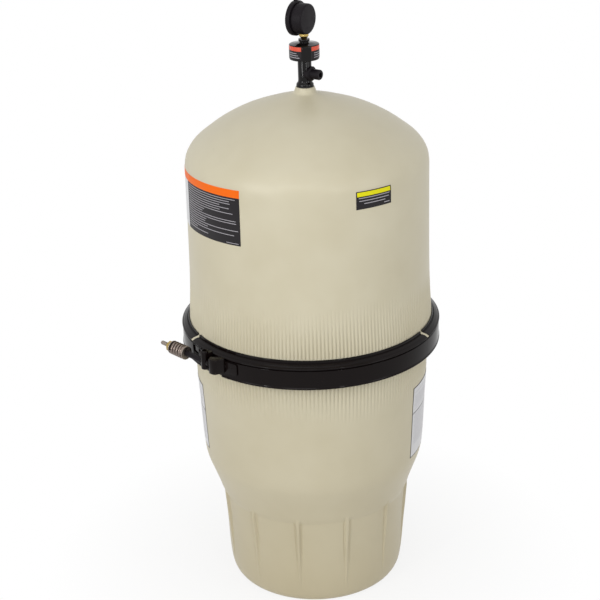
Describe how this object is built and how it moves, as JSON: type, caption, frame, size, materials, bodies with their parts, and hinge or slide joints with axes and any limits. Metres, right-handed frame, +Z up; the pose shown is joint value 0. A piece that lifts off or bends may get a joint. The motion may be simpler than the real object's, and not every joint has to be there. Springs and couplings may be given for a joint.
{
  "type": "pool cartridge filter",
  "caption": "Tall round pool filter tank: moulded shells held by a spring-bolt clamp, pleated elements inside, relief valve and pressure gauge on top, union ports and a drain at the back.",
  "frame": {"origin": "tank axis at the floor face under the foot", "axes": "+Z up along the tank axis; -Y the front, with the clamp bolt front left; +Y the back, where the ports are"},
  "size_m": [0.5845, 0.6058, 1.2695],
  "materials": {
    "cream_shell": "moulded satin gloss, cream",
    "black_coated_steel": "gloss black coating",
    "black_plastic": "moulded black, satin",
    "plain_steel": "plain plated steel, dull",
    "brass": "turned brass",
    "rubber": "black seal rubber",
    "white_plastic": "moulded white",
    "grey_plastic": "moulded grey",
    "filter_cloth": "pleated spun polyester",
    "blue_cap": "cast soft plastic, blue",
    "dial_card": "white enamel dial",
    "pointer_paint": "black painted pointer",
    "clear_lens": "clear lens"
  },
  "bodies": {
    "tank": {"lower_shell": "cream_shell", "body_seal": "rubber", "outlet_bulkhead": "black_plastic", "outlet_gasket": "rubber", "outlet_lock_nut": "black_plastic", "outlet_pipe_tail": "black_plastic", "inlet_bulkhead": "black_plastic", "inlet_gasket": "rubber", "inlet_lock_nut": "black_plastic", "inlet_pipe_tail": "black_plastic", "outlet_elbow": "grey_plastic", "inlet_diffuser": "grey_plastic", "drain_seal": "rubber", "element_1_pleats": "filter_cloth", "element_1_core": "white_plastic", "element_1_bottom_cap": "blue_cap", "element_1_top_cap": "blue_cap", "element_2_pleats": "filter_cloth", "element_2_core": "white_plastic", "element_2_bottom_cap": "blue_cap", "element_2_top_cap": "blue_cap", "element_3_pleats": "filter_cloth", "element_3_core": "white_plastic", "element_3_bottom_cap": "blue_cap", "element_3_top_cap": "blue_cap", "element_4_pleats": "filter_cloth", "element_4_core": "white_plastic", "element_4_bottom_cap": "blue_cap", "element_4_top_cap": "blue_cap", "lower_manifold": "grey_plastic", "upper_manifold": "grey_plastic", "air_bleed_tube": "white_plastic", "air_strainer": "white_plastic"},
    "lid": {"upper_shell": "cream_shell", "valve_seal": "rubber", "valve_body": "black_plastic", "gauge_stem": "brass", "gauge_case": "black_plastic", "gauge_dial": "dial_card", "gauge_lens": "clear_lens"},
    "knob": {"relief_knob": "black_plastic"},
    "dial_ring": {"gauge_ring": "black_plastic"},
    "pointer": {"gauge_pointer": "pointer_paint"},
    "clamp_front": {"retainer_front": "black_coated_steel", "strap_front": "black_coated_steel", "bolt_loop": "black_coated_steel", "t_bolt": "plain_steel"},
    "clamp_left": {"retainer_left": "black_coated_steel", "strap_left": "black_coated_steel", "barrel_lug": "black_coated_steel", "bolt_sleeve": "black_plastic", "inner_washer": "plain_steel", "clamp_spring": "plain_steel"},
    "clamp_right": {"retainer_right": "black_coated_steel", "strap_right": "black_coated_steel"},
    "spring_washer": {"outer_washer": "plain_steel"},
    "nut": {"clamp_nut": "brass"},
    "outlet_union": {"outlet_union_nut": "black_plastic"},
    "inlet_union": {"inlet_union_nut": "black_plastic"},
    "drain": {"drain_plug": "black_plastic"}
  },
  "joints": [
    {"name": "lid_lift", "type": "slide", "parent": "tank", "child": "lid", "axis": [0, 0, 1], "range_m": [0, 0.45]},
    {"name": "relief_knob_turn", "type": "hinge", "parent": "lid", "child": "knob", "pos_m": [0, 0, 1.165], "axis": [0, 0, 1], "range_deg": [0, 90]},
    {"name": "dial_ring_turn", "type": "hinge", "parent": "lid", "child": "dial_ring", "pos_m": [0, 0, 1.231], "axis": [-0.848, 0.5299, 0], "range_deg": [-150, 150]},
    {"name": "gauge_pointer_turn", "type": "hinge", "parent": "lid", "child": "pointer", "pos_m": [0, 0, 1.231], "axis": [-0.848, 0.5299, 0], "range_deg": [-270, 0]},
    {"name": "clamp_open", "type": "slide", "parent": "tank", "child": "clamp_front", "axis": [-0.0192, -0.9998, 0], "range_m": [0, 0.0225]},
    {"name": "clamp_left_open", "type": "slide", "parent": "tank", "child": "clamp_left", "axis": [-0.9397, 0.342, 0], "range_m": [0, 0.03644]},
    {"name": "clamp_right_open", "type": "slide", "parent": "tank", "child": "clamp_right", "axis": [0.8634, 0.5045, 0], "range_m": [0, 0.02052]},
    {"name": "spring_release", "type": "slide", "parent": "clamp_left", "child": "spring_washer", "axis": [-0.6947, 0.7193, 0], "range_m": [0, 0.01201], "deforming": ["clamp_spring"]},
    {"name": "clamp_nut_turn", "type": "hinge", "parent": "spring_washer", "child": "nut", "pos_m": [-0.20789, -0.20076, 0.58], "axis": [-0.6947, 0.7193, 0], "range_deg": [0, 2160]},
    {"name": "outlet_union_turn", "type": "hinge", "parent": "tank", "child": "outlet_union", "pos_m": [0, 0.27, 0.32002], "axis": [0, 1, 0], "continuous": true},
    {"name": "inlet_union_turn", "type": "hinge", "parent": "tank", "child": "inlet_union", "pos_m": [0, 0.27, 0.5], "axis": [0, 1, 0], "continuous": true},
    {"name": "drain_plug_turn", "type": "hinge", "parent": "tank", "child": "drain", "pos_m": [0, 0.23, 0.23802], "axis": [0, 1, 0], "continuous": true}
  ],
  "couplings": [
    {"joint": "clamp_left_open", "follows": "clamp_open", "ratio": 1.6178},
    {"joint": "clamp_right_open", "follows": "clamp_open", "ratio": 0.91111},
    {"joint": "spring_release", "follows": "clamp_nut_turn", "m_per_rad": 0.00031831}
  ]
}
